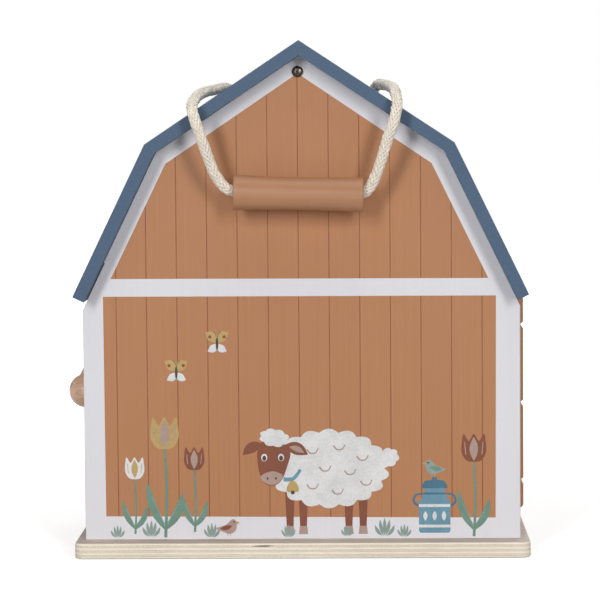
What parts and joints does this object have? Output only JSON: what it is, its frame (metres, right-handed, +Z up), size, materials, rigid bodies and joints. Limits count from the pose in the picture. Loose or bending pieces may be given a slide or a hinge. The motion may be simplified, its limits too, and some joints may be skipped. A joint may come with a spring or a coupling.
{
  "type": "toy farmhouse",
  "caption": "Wooden toy farmhouse: a gambrel-roofed play barn on a plywood base, with barn doors, a side door with a ball knob, and a rope carrying handle with a waisted grip.",
  "frame": {"origin": "centre of the base board's underside, which stands on the table", "axes": "+Z up, -Y towards the viewer of the picture (the printed back wall faces -Y), -X the side with the ball knob"},
  "size_m": [0.2664, 0.1971, 0.2871],
  "materials": {
    "plywood": "clear-coated birch plywood with visible plies",
    "printed_wall": "painted board printed with planks inside a white frame",
    "white_paint": "satin white painted wood",
    "blue_paint": "satin grey-blue painted wood",
    "plank_paint": "satin orange-brown painted wood with plank lines",
    "natural_wood": "clear-coated natural wood",
    "grip_paint": "satin tan-brown painted wood",
    "cotton_rope": "undyed braided cotton",
    "bronze_metal": "dark bronze plated steel",
    "steel": "zinc plated steel"
  },
  "bodies": {
    "house": {"base_board": "plywood", "base_screws": "steel", "back_wall": "printed_wall", "front_wall": "printed_wall", "left_wall": "white_paint", "right_wall": "white_paint", "side_boarding": "plank_paint", "roof_upper_left": "blue_paint", "roof_upper_right": "blue_paint", "roof_lower_left": "blue_paint", "roof_lower_right": "blue_paint", "ridge_rail": "plywood", "ridge_bolts": "bronze_metal", "loft_floor": "plywood", "loft_ledges": "plywood", "corner_battens": "plywood", "front_door_pins": "steel", "front_door_stop": "natural_wood", "window_sill": "white_paint", "side_door_pins": "steel", "side_door_stop": "natural_wood", "button_screw": "steel", "rope_anchor_left": "cotton_rope", "rope_anchor_right": "cotton_rope"},
    "rope_handle": {"rope_left": "cotton_rope", "rope_right": "cotton_rope", "rope_in_grip": "cotton_rope"},
    "handle_grip": {"grip": "grip_paint"},
    "left_barn_door": {"front_door_left": "plank_paint", "door_bracing_left": "white_paint", "front_knob_left": "natural_wood"},
    "right_barn_door": {"front_door_right": "plank_paint", "door_bracing_right": "white_paint", "front_knob_right": "natural_wood"},
    "side_door_leaf": {"side_door": "plank_paint", "side_door_knob": "natural_wood", "knob_screw": "steel"},
    "button_latch": {"turn_button": "natural_wood"}
  },
  "joints": [
    {"name": "handle_swing", "type": "hinge", "parent": "house", "child": "rope_handle", "pos_m": [0, 0, 0.263], "axis": [-1, 0, 0], "range_deg": [0, 122]},
    {"name": "grip_spin", "type": "hinge", "parent": "rope_handle", "child": "handle_grip", "pos_m": [-0.0004, -0.095, 0.20325], "axis": [0.9996, 0, -0.0266], "continuous": true},
    {"name": "left_barn_door_swing", "type": "hinge", "parent": "house", "child": "left_barn_door", "pos_m": [-0.055, 0.072, 0.07], "axis": [0, 0, 1], "range_deg": [0, 95]},
    {"name": "right_barn_door_swing", "type": "hinge", "parent": "house", "child": "right_barn_door", "pos_m": [0.055, 0.072, 0.07], "axis": [0, 0, -1], "range_deg": [0, 95]},
    {"name": "side_door_swing", "type": "hinge", "parent": "house", "child": "side_door_leaf", "pos_m": [-0.116, -0.047, 0.07], "axis": [0, 0, 1], "range_deg": [0, 95]},
    {"name": "turn_button_turn", "type": "hinge", "parent": "house", "child": "button_latch", "pos_m": [-0.1203, 0.03025, 0.0834], "axis": [-1, 0, 0], "range_deg": [0, 180]}
  ]
}
